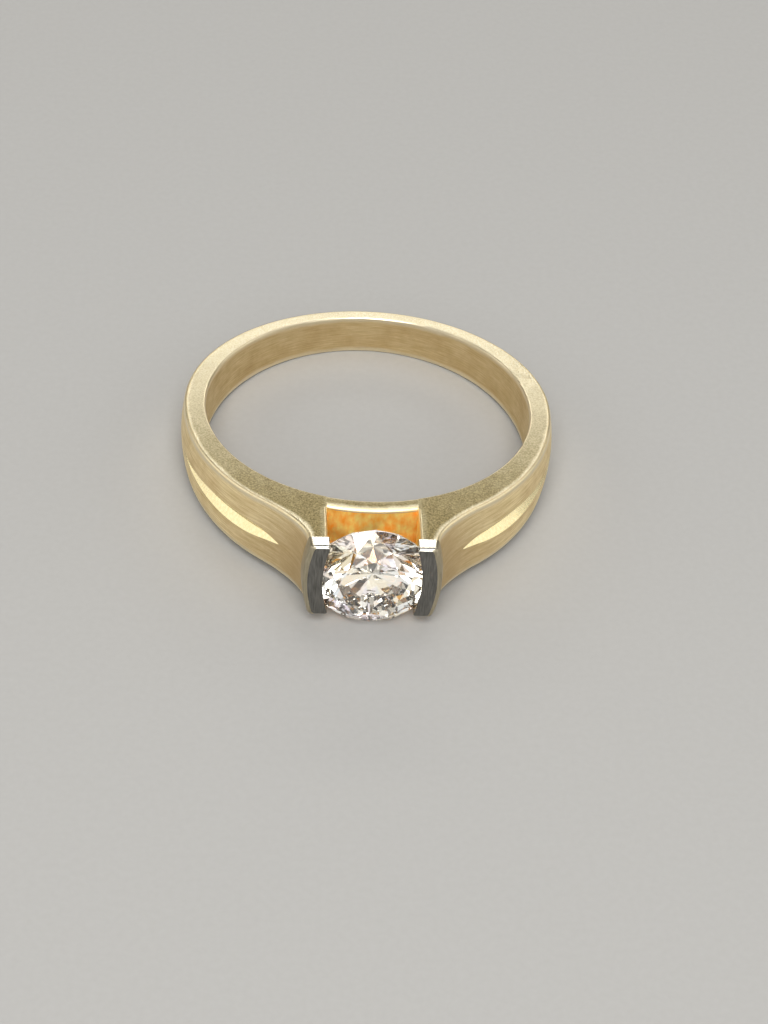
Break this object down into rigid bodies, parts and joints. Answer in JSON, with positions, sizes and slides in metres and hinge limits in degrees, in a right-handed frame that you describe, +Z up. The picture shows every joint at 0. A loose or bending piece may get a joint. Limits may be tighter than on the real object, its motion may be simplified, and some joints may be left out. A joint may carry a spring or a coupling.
{
  "type": "engagement ring",
  "caption": "Solitaire ring: a tapered band with grooved shoulders rises to two walls whose white tips hold a round brilliant.",
  "frame": {"origin": "middle of the footprint on the table that the ring lies on, under the finger hole", "axes": "+Z up from the table and, within five degrees, along the finger; the stone faces -Y; +X to the right seen from the stone's side"},
  "size_m": [0.0194, 0.0222, 0.0058],
  "materials": {
    "satin_yellow_gold": "satin",
    "polished_white_metal": "polished",
    "diamond": "polished",
    "yellow_solder": "satin",
    "white_solder": "satin"
  },
  "bodies": {
    "root": {"shank": "satin_yellow_gold", "shoulder_left": "satin_yellow_gold", "shoulder_right": "satin_yellow_gold", "gallery_bridge": "satin_yellow_gold", "tip_left": "polished_white_metal", "tip_right": "polished_white_metal", "diamond": "diamond", "solder_shank_left": "yellow_solder", "solder_shank_right": "yellow_solder", "solder_bridge_left": "yellow_solder", "solder_bridge_right": "yellow_solder", "solder_tip_left": "white_solder", "solder_tip_right": "white_solder"}
  },
  "joints": []
}
